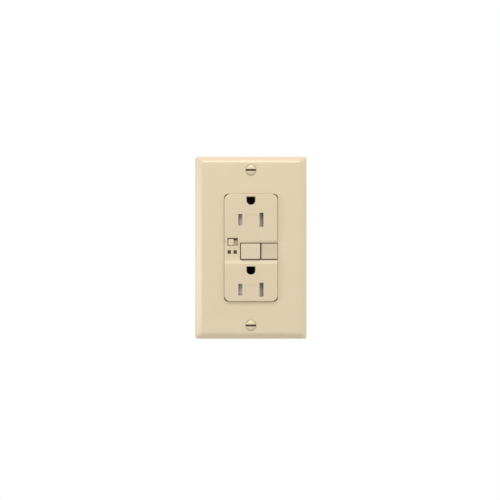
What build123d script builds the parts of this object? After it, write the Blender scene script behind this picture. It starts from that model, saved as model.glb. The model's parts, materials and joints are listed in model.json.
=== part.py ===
# Ground-fault outlet under its wall plate, in millimetres.
# The origin is the centre of the wall plate's back rim, on the finished wall.
# +X is right, +Z is up, and -Y comes out of the wall. "Height" below means the
# distance out of the wall, so a negative height is inside the wall box.
import os

from build123d import *

os.makedirs("parts", exist_ok=True)

# Wall plate
plate_width = 69.85
plate_length = 114.3
plate_proud = 5.6
plate_rim = 2.4
plate_side_bevel = 4.4
plate_end_bevel = 3.4
plate_corner = 1.5
plate_cavity = 3.2
plate_side_wall = 1.8
window_width = 33.4
window_length = 67.0
window_corner = 2.4
plate_screw_z = 48.42
plate_hole_radius = 1.95
countersink_radius = 3.5
countersink_depth = 1.8

# Device face
face_width = 33.1
face_length = 66.7
face_corner = 3.6
face_top = 7.0
face_under = 4.8
face_wall = 1.6
above_face = 8.0
flange_width = 36.4
flange_length = 68.8
flange_thick = 1.6
band_floor = 6.2
band_top_z = 4.9
band_bottom_z = -10.0
fit_gap = 0.05

# Outlets: the blade slots' centres, and the ground hole above them
outlet_z = (17.4, -26.1)
blade_x = 6.35
slot_x = 6.55
ground_rise = 11.9
hot_slot_length = 7.2
neutral_slot_length = 8.8
slot_width = 2.5
ground_width = 5.7
ground_length = 5.2

# Buttons
button_z = -2.25
button_length = 9.6
button_foot = 3.6
pocket_left = -6.7
pocket_right = 15.7
pocket_length = 10.7
reset_x = -0.2
reset_width = 11.9
reset_top = 7.4
test_left = 6.45
test_foot_right = 15.3
test_right = 16.5
test_top = 7.0
test_slope = 0.65
test_dish = 0.15
leaf_x = 12.5

# Alarm switch and the sounder's ports
switch_x = -11.35
switch_z = 3.75
switch_width = 6.5
switch_length = 4.8
knob_x = -12.4
knob_z = 3.5
knob_top = 6.7
port_x = (-13.45, -9.8)
port_z = -2.65
port_width = 2.1
port_length = 2.3
sounder_x = -11.4

# Strap and screws
strap_under = 0.2
strap_top = 1.4
strap_width = 36.0
strap_length = 106.4
strap_ear_width = 18.0
box_screw_z = 41.67
screw_radius = 1.75
tapped_radius = 1.8
driver_slot = 1.1
ground_screw_x = 13.5
ground_screw_height = -5.4
ground_tab_z = -38.6

# Rear housing
housing_width = 38.0
housing_length = 68.6
housing_back = -27.0
housing_wall = 1.8
housing_floor = -25.2
pocket_z = 20.0
pocket_half_length = 6.0
pocket_x = 13.2
shelf_top = -14.4
shelf_under = -16.0
wire_hole_width = 3.0
wire_hole_length = 3.2
corner_screw_x = 12.7
corner_screw_z = 29.6
corner_screw_radius = 1.2
corner_head_radius = 2.2
corner_seat = -25.4

# Tray, buses and contacts
tray_top = -11.6
tray_under = -12.8
bridge_top = -5.2
terminal_height = -8.0
clip_low = -9.6
clip_high = -1.0
strip_high = -7.6
lug_top = -2.4
metal = 0.6
thick_metal = 0.8
contact_z = -2.3
arm_x = 7.8
arm_root_z = -20.5
arm_height = -9.9
feed_height = -13.4

# Terminal screws
clearance_radius = 2.05
binding_radius = 1.98
binding_head_radius = 3.5
lug_x = 13.9
clamp_x = 15.1
head_under_x = 15.65
head_top_x = 17.7

# Latch
latch_height = -11.8
pin_radius = 1.2
pin_neck = 0.8

# Back of the device
board_top = -22.4
board_under = -24.0
coil_height = -17.6
coil_front_z = 8.0
coil_back_z = 24.0
plunger_back_z = 27.4
ring_z = -20.5
ring_case_top = -15.6


def out(height):
    """The plane parallel to the wall, this far out of it."""
    return Plane.XZ.offset(height)


def block(low, high, x, z, width, length, mode=Mode.ADD):
    """A box between two heights, centred on x and z."""
    with Locations((x, -(low + high) / 2, z)):
        Box(width, high - low, length, mode=mode)


def post(low, high, x, z, radius, mode=Mode.ADD):
    """A round bar standing out of the wall, between two heights."""
    with Locations((x, -(low + high) / 2, z)):
        Cylinder(radius, high - low, rotation=(90, 0, 0), mode=mode)


def taper(low, high, x, z, low_radius, high_radius, mode=Mode.ADD):
    """A cone standing out of the wall, between two heights."""
    with Locations((x, -(low + high) / 2, z)):
        Cone(low_radius, high_radius, high - low, rotation=(90, 0, 0), mode=mode)


def bar_x(left, right, height, z, radius, mode=Mode.ADD):
    """A round bar along X."""
    with Locations(((left + right) / 2, -height, z)):
        Cylinder(radius, right - left, rotation=(0, 90, 0), mode=mode)


def bar_z(bottom, top, x, height, radius, mode=Mode.ADD):
    """A round bar along Z."""
    with Locations((x, -height, (bottom + top) / 2)):
        Cylinder(radius, top - bottom, mode=mode)


def corners():
    """The side and end, +1 or -1, of each of the four corners."""
    return [(side, end) for side in (1, -1) for end in (1, -1)]


def save(piece, name):
    """Labels a finished piece and writes it."""
    piece.part.label = name
    export_step(piece.part, "parts/" + name + ".step")


# Wall plate: a bevelled front, a hollow back parallel to the bevel, and a collar round the window
with BuildPart() as wall_plate:
    with BuildSketch(out(0)):
        RectangleRounded(plate_width, plate_length, plate_corner)
    extrude(amount=plate_rim)
    with BuildSketch(out(plate_rim)):
        RectangleRounded(plate_width, plate_length, plate_corner)
    with BuildSketch(out(plate_proud)):
        front_width = plate_width - 2 * plate_side_bevel
        front_length = plate_length - 2 * plate_end_bevel
        RectangleRounded(front_width, front_length, plate_corner)
    loft(ruled=True)
    front_edges = wall_plate.edges().group_by(Axis.Y)[0]
    fillet(front_edges, 0.9)
    cavity_width = plate_width - 2 * plate_side_wall
    cavity_length = plate_length - 2 * plate_side_wall
    cavity_corner = 0.8
    with BuildSketch(out(0)):
        RectangleRounded(cavity_width, cavity_length, cavity_corner)
    with BuildSketch(out(plate_cavity)):
        RectangleRounded(cavity_width - 2 * plate_cavity, cavity_length - 2 * plate_cavity, cavity_corner)
    loft(ruled=True, mode=Mode.SUBTRACT)
    collar_low = 1.6
    with BuildSketch(out(collar_low)):
        RectangleRounded(40.4, 72.8, 3.0)
        RectangleRounded(37.6, 69.8, 2.6, mode=Mode.SUBTRACT)
    extrude(amount=plate_cavity - collar_low)
    with BuildSketch(out(0)):
        RectangleRounded(window_width, window_length, window_corner)
    extrude(amount=plate_proud, mode=Mode.SUBTRACT)
    window_edges = wall_plate.edges().group_by(Axis.Y)[0].filter_by_position(Axis.X, -17, 17)
    window_edges = window_edges.filter_by_position(Axis.Z, -34, 34)
    fillet(window_edges, 0.3)
    for z in (plate_screw_z, -plate_screw_z):
        sink_low = plate_proud - countersink_depth
        post(0, plate_proud, 0, z, plate_hole_radius, Mode.SUBTRACT)
        taper(sink_low, plate_proud, 0, z, plate_hole_radius, countersink_radius, Mode.SUBTRACT)
save(wall_plate, "wall_plate")


def plate_screw(name, screw_z):
    """Oval-head screw: a shallow dome over a countersunk cone, slotted across."""
    head_radius = 3.35
    cone_low = 4.12
    rim_low = 5.5
    rim_top = 5.62
    dome = 1.0
    screw_end = 7.5
    tip = 0.4
    slot_floor = 5.3
    slot_across = 1.25
    with BuildPart() as screw:
        with BuildSketch(Plane.YZ):
            with BuildLine():
                Polyline(
                    (screw_end, 0),
                    (screw_end, screw_radius - tip),
                    (screw_end - tip, screw_radius),
                    (-cone_low, screw_radius),
                    (-rim_low, head_radius),
                    (-rim_top, head_radius),
                )
                ThreePointArc(
                    (-rim_top, head_radius),
                    (-rim_top - dome * 0.76, head_radius * 0.5),
                    (-rim_top - dome, 0),
                )
                Line((-rim_top - dome, 0), (screw_end, 0))
            make_face()
        revolve(axis=Axis.Y)
        block(slot_floor, above_face, 0, 0, 8, slot_across, Mode.SUBTRACT)
    screw.part.position = (0, 0, screw_z)
    save(screw, name)


plate_screw("plate_screw_upper", plate_screw_z)
plate_screw("plate_screw_lower", -plate_screw_z)

# Mounting strap, with its ears and the tab for the ground terminal
with BuildPart() as strap:
    with BuildSketch(out(strap_under)):
        RectangleRounded(strap_width, housing_length, 2.0)
        RectangleRounded(strap_ear_width, strap_length, 1.5)
        # plaster ears
        for ear_z in (50.2, -50.2):
            with Locations((0, ear_z)):
                RectangleRounded(26.0, 6.0, 1.5)
        # arm that carries the ground terminal
        with Locations((ground_screw_x, -36.7)):
            Rectangle(8.0, 5.0)
        for end in (1, -1):
            with Locations((0, end * box_screw_z)):
                SlotOverall(7.6, 4.0, mode=Mode.SUBTRACT)
            with Locations((0, end * plate_screw_z)):
                Circle(tapped_radius, mode=Mode.SUBTRACT)
        for side, end in corners():
            with Locations((side * corner_screw_x, end * corner_screw_z)):
                RectangleRounded(4.6, 4.6, 1.0, mode=Mode.SUBTRACT)
        # openings for the blades, the ground pins and the buttons' stems
        for z in outlet_z:
            for side in (1, -1):
                with Locations((side * blade_x, z)):
                    RectangleRounded(5.0, 10.4, 0.8, mode=Mode.SUBTRACT)
            with Locations((0, z + ground_rise)):
                RectangleRounded(5.8, 5.6, 1.0, mode=Mode.SUBTRACT)
        with Locations((4.2, button_z)):
            RectangleRounded(23.0, 11.0, 1.0, mode=Mode.SUBTRACT)
    extrude(amount=strap_top - strap_under)
    # the tab is bent back from its arm
    tab_end = -10.6
    tab_thick = 1.2
    block(tab_end, strap_under, ground_screw_x, ground_tab_z, 8.0, tab_thick)
    tab_back = ground_tab_z - tab_thick
    bar_z(tab_back, -37, ground_screw_x, ground_screw_height, clearance_radius, Mode.SUBTRACT)
save(strap, "mounting_strap")

# Ground clips: a frame under the strap and two leaves that grip the pin
with BuildPart() as ground_clips:
    frame_low = -0.6
    leaf_low = -9.0
    leaf_x_offset = 2.8
    leaf_length = 5.4
    for z in outlet_z:
        pin_z = z + ground_rise
        block(frame_low, strap_under, 0, pin_z - 0.3, 10.0, 6.4)
        block(frame_low, strap_under, 0, pin_z, 5.6, 5.0, Mode.SUBTRACT)
        for side in (1, -1):
            block(leaf_low, frame_low, side * leaf_x_offset, pin_z, metal, leaf_length)
            # turned-out lip at the leaf's end
            block(leaf_low, leaf_low + 1, side * (leaf_x_offset + 0.5), pin_z, 0.4, leaf_length)
save(ground_clips, "ground_clips")

# Two screws that hold the strap to the wall box, and the fibre washers that keep them in the strap
with BuildPart() as box_screws:
    head_top = 3.0
    neck_end = -1.0
    for end in (1, -1):
        z = end * box_screw_z
        post(strap_top, head_top, 0, z, 3.3)
        post(neck_end, strap_top, 0, z, 1.45)
        post(-24.0, neck_end, 0, z, screw_radius)
        block(head_top - 0.8, head_top + 0.1, 0, z, 7.0, driver_slot, Mode.SUBTRACT)
save(box_screws, "box_mounting_screws")

with BuildPart() as retainers:
    retainer_thick = 0.8
    for end in (1, -1):
        with BuildSketch(out(strap_under - retainer_thick)):
            with Locations((0, end * box_screw_z)):
                RectangleRounded(11.0, 8.0, 1.0)
                Circle(1.55, mode=Mode.SUBTRACT)
        extrude(amount=retainer_thick)
save(retainers, "screw_retainers")

# Ground screw, which points up through the tab
with BuildPart() as ground_screw:
    seat_z = -39.25
    head_end_z = -41.4
    x = ground_screw_x
    height = ground_screw_height
    bar_z(head_end_z, seat_z, x, height, 3.7)
    bar_z(seat_z, -34.9, x, height, binding_radius)
    block(height - 4, height + 4, x, head_end_z + 0.2, 1.2, 1.4, Mode.SUBTRACT)
save(ground_screw, "ground_screw")


# Face: a shell with a flange that the strap and the wall plate hold
with BuildPart() as face:
    with BuildSketch(out(strap_top)):
        RectangleRounded(flange_width, flange_length, 2.5)
    extrude(amount=flange_thick)
    with BuildSketch(out(strap_top)):
        RectangleRounded(face_width, face_length, face_corner)
    extrude(amount=face_top - strap_top)
    fillet(face.edges().group_by(Axis.Y)[0], 0.5)
    with BuildSketch(out(strap_top)):
        RectangleRounded(face_width - 2 * face_wall, face_length - 2 * face_wall, face_corner - face_wall)
    extrude(amount=face_under - strap_top, mode=Mode.SUBTRACT)
    # screw bosses in the corners
    for side, end in corners():
        post(strap_top, face_under, side * corner_screw_x, end * corner_screw_z, 2.0)
        post(strap_top, 4.2, side * corner_screw_x, end * corner_screw_z, 1.25, Mode.SUBTRACT)
    # shallow band with sloping ends, right across the middle
    with BuildSketch(Plane.YZ):
        with BuildLine():
            Polyline(
                (-above_face, band_top_z + 2.4),
                (-face_top, band_top_z),
                (-band_floor, band_top_z - 1.9),
                (-band_floor, band_bottom_z + 2.4),
                (-face_top, band_bottom_z),
                (-above_face, band_bottom_z - 3.0),
                close=True,
            )
        make_face()
    extrude(amount=face_width, both=True, mode=Mode.SUBTRACT)
    # outlet openings
    for z in outlet_z:
        block(strap_top, above_face, -slot_x, z, slot_width, hot_slot_length, Mode.SUBTRACT)
        block(strap_top, above_face, slot_x, z, slot_width, neutral_slot_length, Mode.SUBTRACT)
        ground_z = z + ground_rise
        # flat at the top and round at the bottom
        with BuildSketch(out(strap_top)):
            with Locations((0, ground_z + (ground_width - ground_length) / 2)):
                Circle(ground_width / 2)
            with Locations((0, ground_z + ground_length / 4)):
                Rectangle(ground_width, ground_length / 2)
            with Locations((0, ground_z)):
                Rectangle(ground_width, ground_length, mode=Mode.INTERSECT)
        extrude(amount=above_face, mode=Mode.SUBTRACT)
        # blank panel between the blade slots, slightly sunk
        with BuildSketch(out(face_top)):
            with Locations((0, z)):
                RectangleRounded(7.2, 6.4, 0.4)
        extrude(amount=-0.12, mode=Mode.SUBTRACT)
    # pocket that both buttons fill, open at the right above the foot of the test button
    keys_x = (pocket_left + pocket_right) / 2
    block(strap_top, above_face, keys_x, button_z, pocket_right - pocket_left, pocket_length, Mode.SUBTRACT)
    block(button_foot, above_face, pocket_right + 0.5, button_z, 3.0, pocket_length, Mode.SUBTRACT)
    # switch window and the sounder's two ports
    block(strap_top, above_face, switch_x, switch_z, switch_width, switch_length, Mode.SUBTRACT)
    for x in port_x:
        block(strap_top, above_face, x, port_z, port_width, port_length, Mode.SUBTRACT)
save(face, "face")


def button(name, left, right, foot_right, top, slope, dish, crown):
    """Push button, hollow behind. Its lips stop under the face, and its cap may slope and be dished."""
    x = (left + foot_right) / 2
    width = foot_right - left
    skin = 1.4
    wall = 1.2
    with BuildPart() as key:
        half = button_length / 2
        with BuildSketch(Plane.YZ.offset(left)):
            with BuildLine():
                sides = Polyline(
                    (-top, button_z - half),
                    (-button_foot, button_z - half),
                    (-button_foot, button_z + half),
                    (-top + slope, button_z + half),
                )
                if dish:
                    ThreePointArc(sides @ 1, (-top + slope / 2 + dish, button_z), sides @ 0)
                else:
                    Line(sides @ 1, sides @ 0)
            make_face()
        extrude(amount=right - left)
        fillet(key.faces().sort_by(Axis.Y)[0].edges(), crown)
        if right > foot_right:
            # the cap overhangs its foot to reach the edge of the face
            overhang = right - foot_right
            overhang_x = foot_right + overhang / 2
            block(button_foot, 4.9, overhang_x, button_z, overhang, button_length, Mode.SUBTRACT)
        for lip_z in (button_z + 5.3, button_z - 5.3):
            block(button_foot, face_under - fit_gap, x, lip_z, width - 1.4, 1.1)
        hollow_top = top - slope - skin
        hollow_length = button_length - 2 * wall
        block(button_foot, hollow_top, x, button_z, width - 2 * wall, hollow_length, Mode.SUBTRACT)
        if name == "reset_button":
            # socket for the reset pin
            post(button_foot, hollow_top + 0.1, x, button_z, 1.9)
            post(button_foot, hollow_top - 0.8, x, button_z, 1.25, Mode.SUBTRACT)
        else:
            # leg that presses the test leaf
            block(-0.9, hollow_top + 0.1, leaf_x, button_z, 2.6, 1.6)
    save(key, name)


reset_left = reset_x - reset_width / 2
reset_right = reset_x + reset_width / 2
button("reset_button", reset_left, reset_right, reset_right, reset_top, 0, 0, 0.45)
button("test_button", test_left, test_right, test_foot_right, test_top, test_slope, test_dish, 0.4)

# Alarm switch: a body whose deck fills the window, and a knob whose foot slides in the track
# below the deck, through a slit along the window's upper edge
track_low = 3.0
track_high = 4.6
track_z = 4.35
slit_z = 5.25
deck_top = 5.6

with BuildPart() as switch_body:
    deck_low = face_under - fit_gap
    block(1.6, deck_low, switch_x, switch_z, 7.1, 5.6)
    block(deck_low, deck_top, switch_x, switch_z, switch_width - 0.2, switch_length - 0.2)
    block(track_low, track_high, switch_x, track_z, 5.9, 3.0, Mode.SUBTRACT)
    block(track_high, above_face, switch_x, slit_z, 5.5, 0.8, Mode.SUBTRACT)
save(switch_body, "switch_body")

with BuildPart() as switch_knob:
    knob_under = deck_top + fit_gap
    foot_top = track_high - 0.1
    block(track_low + 0.1, foot_top, knob_x, track_z, 2.4, 2.6)
    block(foot_top, knob_under, knob_x, slit_z - 0.05, 2.4, 0.5)
    block(knob_under, knob_top, knob_x, knob_z, 3.2, 3.9)
    fillet(switch_knob.edges().group_by(Axis.Y)[0], 0.3)
save(switch_knob, "switch_knob")

# Sounder: a shallow cup with a raised disc
with BuildPart() as sounder:
    cup_floor = 3.2
    post(2.4, face_under - fit_gap, sounder_x, port_z, 3.0)
    post(cup_floor, face_under, sounder_x, port_z, 2.7, Mode.SUBTRACT)
    post(cup_floor, cup_floor + 0.3, sounder_x, port_z, 2.4)
save(sounder, "sounder")


def shutter_set(end, z):
    """Cage, hot and neutral shutters, and the spring that holds them apart."""
    cage_low = 1.5
    cage_floor = 2.6
    with BuildPart() as cage:
        block(cage_low, face_under - fit_gap, 0, z, 20.2, 11.0)
        block(cage_floor, face_under, 0, z, 18.4, 9.4, Mode.SUBTRACT)
        for side in (1, -1):
            block(cage_low, cage_floor, side * blade_x, z, 2.6, 8.9, Mode.SUBTRACT)
    save(cage, "shutter_cage_" + end)
    inner_x = 4.3
    ramp_x = 5.4
    outer_x = 8.5
    shutter_low = 2.7
    ramp_low = 3.1
    shutter_high = 4.65
    for side, wire in ((-1, "hot"), (1, "neutral")):
        with BuildPart() as shutter:
            # the ramp lets a blade push the shutter aside
            with BuildSketch(Plane.XY.offset(z)):
                with BuildLine():
                    Polyline(
                        (side * inner_x, -shutter_low),
                        (side * outer_x, -shutter_low),
                        (side * outer_x, -ramp_low),
                        (side * ramp_x, -shutter_high),
                        (side * inner_x, -shutter_high),
                        close=True,
                    )
                make_face()
            extrude(amount=4.5, both=True)
        save(shutter, wire + "_shutter_" + end)
    spring_half = 4.2
    spring_height = 3.6
    with BuildPart() as spring:
        bar_x(-spring_half, spring_half, spring_height, z, 0.85)
        bar_x(-spring_half, spring_half, spring_height, z, 0.55, Mode.SUBTRACT)
    save(spring, "shutter_spring_" + end)


shutter_set("upper", outlet_z[0])
shutter_set("lower", outlet_z[1])


def notched_outline(half_width, half_length, notch_x, notch_half):
    """A rectangle with the four terminal notches cut into its sides."""
    with BuildSketch(mode=Mode.PRIVATE) as outline:
        Rectangle(2 * half_width, 2 * half_length)
        for side, end in corners():
            with Locations((side * (notch_x + half_width) / 2, end * pocket_z)):
                Rectangle(half_width - notch_x, 2 * notch_half, mode=Mode.SUBTRACT)
    return outline.sketch


inner_half_width = housing_width / 2 - housing_wall
inner_half_length = housing_length / 2 - housing_wall
inner_notch_x = pocket_x - housing_wall
outer_outline = notched_outline(housing_width / 2, housing_length / 2, pocket_x, pocket_half_length)


def inside_outline(gap):
    """The housing's inside, this much smaller all round."""
    return notched_outline(
        inner_half_width - gap,
        inner_half_length - gap,
        inner_notch_x - gap,
        pocket_half_length + housing_wall + gap,
    )


# Rear housing: a deep box with a pocket and a wire shelf at each terminal
with BuildPart() as housing:
    with BuildSketch(out(housing_back)):
        add(outer_outline)
    extrude(amount=strap_under - housing_back)
    for side, end in corners():
        shelf_x = side * (pocket_x + housing_width / 2) / 2
        shelf_width = housing_width / 2 - pocket_x
        block(shelf_under, shelf_top, shelf_x, end * pocket_z, shelf_width, 2 * pocket_half_length)
        # two wire entries through each shelf, beside the screw
        for beside in (3.5, -3.5):
            z = end * pocket_z + beside
            block(-17, -14, side * 16.0, z, wire_hole_width, wire_hole_length, Mode.SUBTRACT)
    with BuildSketch(out(housing_floor)):
        add(inside_outline(0))
    extrude(amount=strap_under - housing_floor, mode=Mode.SUBTRACT)
    for side, end in corners():
        boss_x = side * corner_screw_x
        boss_z = end * corner_screw_z
        post(housing_floor, strap_under, boss_x, boss_z, 2.6)
        post(housing_back, strap_under, boss_x, boss_z, 1.35, Mode.SUBTRACT)
        post(housing_back, corner_seat, boss_x, boss_z, 2.5, Mode.SUBTRACT)
        # slot that the terminal drops into
        slot_wall_x = side * (pocket_x - housing_wall / 2)
        block(-10.8, 1, slot_wall_x, end * pocket_z, housing_wall + 0.4, 5.2, Mode.SUBTRACT)
        # pads under the circuit board
        block(housing_floor, board_under, side * 14.0, end * 10.0, 3.0, 3.0)
    # softened back edges
    back_edges = housing.edges().group_by(Axis.Y)[-1].filter_by(GeomType.LINE)
    chamfer(back_edges, 0.5)
    # shallow label panel and two wire-stripping gauges in the back
    recess_floor = housing_back + 0.35
    with BuildSketch(out(housing_back)):
        RectangleRounded(17.0, 30.0, 1.5)
        for gauge_z in (23.0, -23.0):
            with Locations((0, gauge_z)):
                SlotOverall(15.9, 1.8)
    extrude(amount=recess_floor - housing_back, mode=Mode.SUBTRACT)
save(housing, "rear_housing")

with BuildPart() as housing_screws:
    head_back = -26.8
    for side, end in corners():
        x = side * corner_screw_x
        z = end * corner_screw_z
        post(head_back, corner_seat, x, z, corner_head_radius)
        post(corner_seat, 4.0, x, z, corner_screw_radius)
        # crossed driver recess
        for width, length in ((3.0, 0.8), (0.8, 3.0)):
            block(housing_back, head_back + 0.6, x, z, width, length, Mode.SUBTRACT)
save(housing_screws, "housing_screws")

# Contact tray: a floor and side walls, a bridge for the reset spring, and openings for what passes through
tray_gap = 0.2
tray_wall = 1.0

with BuildPart() as tray:
    with BuildSketch(out(tray_under)):
        add(inside_outline(tray_gap))
    extrude(amount=-tray_under)
    with BuildSketch(out(tray_top)):
        add(inside_outline(tray_gap + tray_wall))
    extrude(amount=-tray_top, mode=Mode.SUBTRACT)
    bridge_low = bridge_top - 1.2
    block(bridge_low, bridge_top, 0, button_z, 33.0, 6.0)
    post(bridge_low, bridge_top, reset_x, button_z, 1.5, Mode.SUBTRACT)
    # well for the latch carrier, the latch plate's tab and the contact arms
    block(tray_under, tray_top, 0, -3.0, 18.4, 18.8, Mode.SUBTRACT)
    for z in outlet_z:
        block(tray_under, tray_top, 0, z + ground_rise, 5.8, 5.8, Mode.SUBTRACT)
    # room for the upper ground clip in the end wall
    block(tray_under, 1, 0, 31.6, 10.6, 3.2, Mode.SUBTRACT)
    notch_x = 10.7
    for side, end in corners():
        block(-10.8, 1, side * notch_x, end * pocket_z, 1.6, 5.2, Mode.SUBTRACT)
        # corners make room for the housing's screw bosses
        block(tray_under, 1, side * 14.0, end * 30.9, 8.4, 8.2, Mode.SUBTRACT)
    for side in (1, -1):
        # feed bars and line terminals come up through the floor
        block(tray_under, tray_top, side * arm_x, arm_root_z, 2.4, 2.4, Mode.SUBTRACT)
        block(tray_under - 0.2, 1, side * notch_x, -pocket_z, 1.6, 5.2, Mode.SUBTRACT)
save(tray, "contact_tray")


def lug(side, end):
    """Terminal plate that stands in its pocket, with a hole for the screw."""
    z = end * pocket_z
    block(-12.6, lug_top, side * lug_x, z, 1.0, 9.0)
    bar_x(side * lug_x - 1, side * lug_x + 1, terminal_height, z, clearance_radius, Mode.SUBTRACT)


def outlet_bus(side, name):
    """One stamping: the load terminal, a long strip, both blade clips and a fixed contact."""
    strip_x = side * 9.5
    jaw = 1.1
    bend_x = side * 8.3
    with BuildPart() as bus:
        lug(side, 1)
        # neck in through the housing wall
        block(lug_top - 1.0, lug_top, side * 11.5, pocket_z, 4.0, 4.4)
        block(clip_low, lug_top, strip_x, outlet_z[0], thick_metal, 9.8)
        block(clip_low, strip_high, strip_x, -4.2, thick_metal, 53.0)
        for z in outlet_z:
            for leaf in (blade_x - jaw, blade_x + jaw):
                block(clip_low, clip_high, side * leaf, z - 0.7, metal, 8.4)
            # the leaves' bridge, and the tie back to the strip
            tie_z = z - 4.6
            block(clip_low, clip_high, side * blade_x, tie_z, 2 * jaw + metal, metal)
            block(clip_low, strip_high, bend_x, tie_z, 1.7, metal)
        # tab with the fixed contact
        tab_under = strip_high - metal
        block(tab_under, strip_high, side * 7.9, contact_z, 2.6, 3.6)
        post(tab_under - 0.7, tab_under, side * arm_x, contact_z, 1.1)
    save(bus, name)


outlet_bus(-1, "hot_outlet_bus")
outlet_bus(1, "neutral_outlet_bus")


def line_side(side, wire):
    """Line terminal with its tail, feed bar through the sensing rings, and contact arm."""
    with BuildPart() as terminal:
        lug(side, -1)
        block(lug_top - 1.0, lug_top, side * 11.85, -pocket_z, 3.1, 4.4)
        block(board_top, lug_top, side * 10.75, -pocket_z, thick_metal, 4.4)
    save(terminal, wire + "_line_terminal")
    feed_width = 2.0
    yoke_x = side * 8.1
    with BuildPart() as feed:
        block(board_top, feed_height, side * 2.0, arm_root_z, 1.2, feed_width)
        block(feed_height - 1.0, feed_height, side * 5.05, arm_root_z, 7.3, feed_width)
        block(feed_height - 1.0, arm_height - 1.0, yoke_x, arm_root_z, 1.2, feed_width)
        bar_x(yoke_x - 1, yoke_x + 1, arm_height, arm_root_z, 0.9, Mode.SUBTRACT)
    save(feed, wire + "_feed_bar")
    half_metal = metal / 2
    with BuildPart() as arm:
        bar_x(side * arm_x - 0.9, side * arm_x + 0.9, arm_height, arm_root_z, 0.8)
        block(arm_height - half_metal, arm_height + half_metal, side * arm_x, -10.6, 1.8, 19.6)
        post(arm_height + half_metal, -8.95, side * arm_x, contact_z, 0.9)
    save(arm, wire + "_contact_arm")


line_side(-1, "hot")
line_side(1, "neutral")


def terminal_screw(side, end, name):
    """Binding-head screw along X, with its square clamp plate under the head."""
    z = end * pocket_z
    x = side * clamp_x
    with BuildPart() as clamp:
        block(-12.0, -4.0, x, z, 1.0, 9.0)
        bar_x(x - 1, x + 1, terminal_height, z, clearance_radius, Mode.SUBTRACT)
    save(clamp, name + "_clamp")
    head = sorted((side * head_under_x, side * head_top_x))
    shank = sorted((side * 11.6, side * head_under_x))
    slot_mid = side * (head_top_x - 0.3)
    with BuildPart() as screw:
        bar_x(head[0], head[1], terminal_height, z, binding_head_radius)
        bar_x(shank[0], shank[1], terminal_height, z, binding_radius)
        # slot and short cross slot
        block(terminal_height - 4, terminal_height + 4, slot_mid, z, 1.4, driver_slot, Mode.SUBTRACT)
        low = terminal_height - driver_slot / 2
        block(low, low + driver_slot, slot_mid, z, 1.4, 4.4, Mode.SUBTRACT)
    save(screw, name + "_screw")


terminal_screw(-1, 1, "hot_load")
terminal_screw(1, 1, "neutral_load")
terminal_screw(-1, -1, "hot_line")
terminal_screw(1, -1, "neutral_line")

# Reset pin: its grooved end locks into the latch plate
pin_shoulder = -8.9
groove_end = -12.5
with BuildPart() as reset_pin:
    post(pin_shoulder, 5.2, reset_x, button_z, pin_radius)
    post(groove_end, pin_shoulder, reset_x, button_z, pin_neck)
    post(-13.6, groove_end, reset_x, button_z, pin_radius)
    taper(-14.8, -13.6, reset_x, button_z, 0.6, pin_radius)
save(reset_pin, "reset_pin")

with BuildPart() as reset_spring:
    post(bridge_top, button_foot - fit_gap, reset_x, button_z, 2.4)
    post(bridge_top, button_foot, reset_x, button_z, 1.8, Mode.SUBTRACT)
save(reset_spring, "reset_spring")

# Latch carrier: a block with a crossbar under both contact arms, and a channel for the latch plate
with BuildPart() as carrier:
    block(-13.4, -10.3, 0, button_z, 8.4, 7.8)
    block(-11.4, -10.5, 0, -4.9, 17.4, 1.2)
    block(latch_height - 0.5, latch_height + 0.5, 0, button_z, 6.4, 9.0, Mode.SUBTRACT)
    post(-14, -10, reset_x, button_z, 1.45, Mode.SUBTRACT)
save(carrier, "latch_carrier")

with BuildPart() as latch_plate:
    plate_half = 0.4
    low = latch_height - plate_half
    high = latch_height + plate_half
    block(low, high, 0, 0.1, 6.0, 9.8)
    # tab that the plunger strikes
    block(-19.2, high, 0, 4.6, 5.0, 0.8)
    # keyhole: narrow at rest, wide once the plate has moved down
    block(low - 1, high + 1, reset_x, button_z, 1.9, 3.4, Mode.SUBTRACT)
    post(low - 1, high + 1, reset_x, button_z + 2.0, 1.5, Mode.SUBTRACT)
save(latch_plate, "latch_plate")

# Test contact: a leaf hinged between two cheeks, and the post that its tip touches
leaf_root_z = -9.0
leaf_height = -1.35

with BuildPart() as test_leaf:
    bar_x(leaf_x - 1.0, leaf_x + 1.0, leaf_height, leaf_root_z, 0.5)
    block(leaf_height - 0.2, leaf_height + 0.2, leaf_x, -4.8, 2.0, 8.4)
save(test_leaf, "test_leaf")

with BuildPart() as test_posts:
    block(tray_top, -2.0, leaf_x, leaf_root_z, 2.0, 1.6)
    for cheek in (1.35, -1.35):
        block(tray_top, -0.6, leaf_x + cheek, leaf_root_z, 0.6, 1.6)
    block(bridge_top, -3.15, leaf_x, -0.5, 1.4, 1.4)
save(test_posts, "test_contacts")

# Solenoid: bobbin, winding, plunger and return spring
tube_radius = 2.6
winding_radius = 4.3
with BuildPart() as bobbin:
    bar_z(coil_front_z, coil_back_z, 0, coil_height, tube_radius)
    for flange_z in (coil_front_z + 0.5, coil_back_z - 0.5):
        block(board_top, -13.1, 0, flange_z, 9.4, 1.0)
    bar_z(coil_front_z - 1, coil_back_z + 1, 0, coil_height, 1.95, Mode.SUBTRACT)
save(bobbin, "coil_bobbin")

with BuildPart() as winding:
    bar_z(coil_front_z + 1.0, coil_back_z - 1.0, 0, coil_height, winding_radius)
    bar_z(coil_front_z, coil_back_z, 0, coil_height, tube_radius, Mode.SUBTRACT)
save(winding, "coil_winding")

plunger_head_z = plunger_back_z - 0.8
with BuildPart() as plunger:
    bar_z(5.2, plunger_back_z, 0, coil_height, 1.88)
    bar_z(plunger_head_z, plunger_back_z, 0, coil_height, 2.9)
save(plunger, "plunger")

with BuildPart() as plunger_spring:
    bar_z(coil_back_z, plunger_head_z, 0, coil_height, 2.7)
    bar_z(coil_back_z - 1, plunger_back_z, 0, coil_height, 2.2, Mode.SUBTRACT)
save(plunger_spring, "plunger_spring")

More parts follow.
